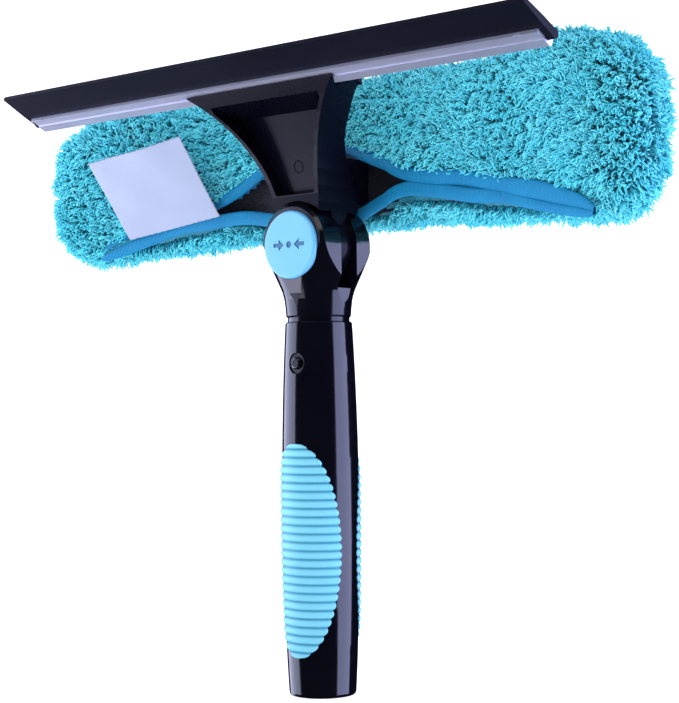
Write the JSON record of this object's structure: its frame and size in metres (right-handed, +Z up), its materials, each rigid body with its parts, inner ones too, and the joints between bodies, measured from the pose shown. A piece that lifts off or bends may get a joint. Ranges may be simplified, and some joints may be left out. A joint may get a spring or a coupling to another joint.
{
  "type": "window squeegee with scrubber",
  "caption": "Window squeegee on a short ribbed handle, with a swivel head and a microfibre scrubber behind the blade.",
  "frame": {"origin": "centre of the pole socket's mouth, at the bottom of the handle", "axes": "+Z up the handle, +X along the blade, -Y towards the front, where the push button is"},
  "size_m": [0.348, 0.1092, 0.2775],
  "materials": {
    "black_plastic": "injection moulded, high gloss",
    "button_black": "moulded, gloss",
    "aqua_grip": "soft moulded ribs, satin",
    "bush_plastic": "moulded, matt",
    "spring_steel": "drawn wire",
    "aqua_plastic": "moulded, satin gloss",
    "gear_plastic": "moulded acetal",
    "zinc_steel": "zinc plated",
    "channel_aluminium": "extruded and satin anodised",
    "blade_rubber": "smooth moulded strip",
    "bar_plastic": "moulded, fine grain",
    "pile_fabric": "long-pile microfibre",
    "lining_fabric": "plain woven",
    "binding_fabric": "ribbed woven tape",
    "label_fabric": "woven label, blank"
  },
  "bodies": {
    "handle": {"handle_shell": "black_plastic", "grip_inlay_front": "aqua_grip", "grip_inlay_rear": "aqua_grip", "pole_socket_bush": "bush_plastic", "yoke": "black_plastic", "pivot_bolt": "zinc_steel", "pivot_nut": "zinc_steel", "pivot_cap": "black_plastic", "snap_spring": "spring_steel", "button_spring": "spring_steel"},
    "head": {"head_body": "black_plastic", "jaw_plate": "black_plastic", "jaw_screws": "zinc_steel", "blade_channel": "channel_aluminium", "rubber_blade": "blade_rubber", "scrubber_bar": "bar_plastic", "bar_screws": "zinc_steel", "sleeve": "pile_fabric", "sleeve_lining": "lining_fabric", "binding_upper": "binding_fabric", "binding_lower": "binding_fabric", "care_label": "label_fabric"},
    "push_button": {"push_button": "aqua_plastic", "lock_gear": "gear_plastic"},
    "snap_button": {"snap_button": "button_black"}
  },
  "joints": [
    {"name": "head_tilt", "type": "hinge", "parent": "handle", "child": "head", "pos_m": [0, 0, 0.1986], "axis": [0, 1, 0], "range_deg": [-60, 60]},
    {"name": "button_press", "type": "slide", "parent": "handle", "child": "push_button", "axis": [0, 1, 0], "range_m": [0, 0.004], "stiffness_N_per_m": 900, "springref_m": -0.002, "deforming": ["button_spring"]},
    {"name": "snap_press", "type": "slide", "parent": "handle", "child": "snap_button", "axis": [0, 1, 0], "range_m": [0, 0.0035], "stiffness_N_per_m": 700, "springref_m": -0.002, "deforming": ["snap_spring"]}
  ]
}
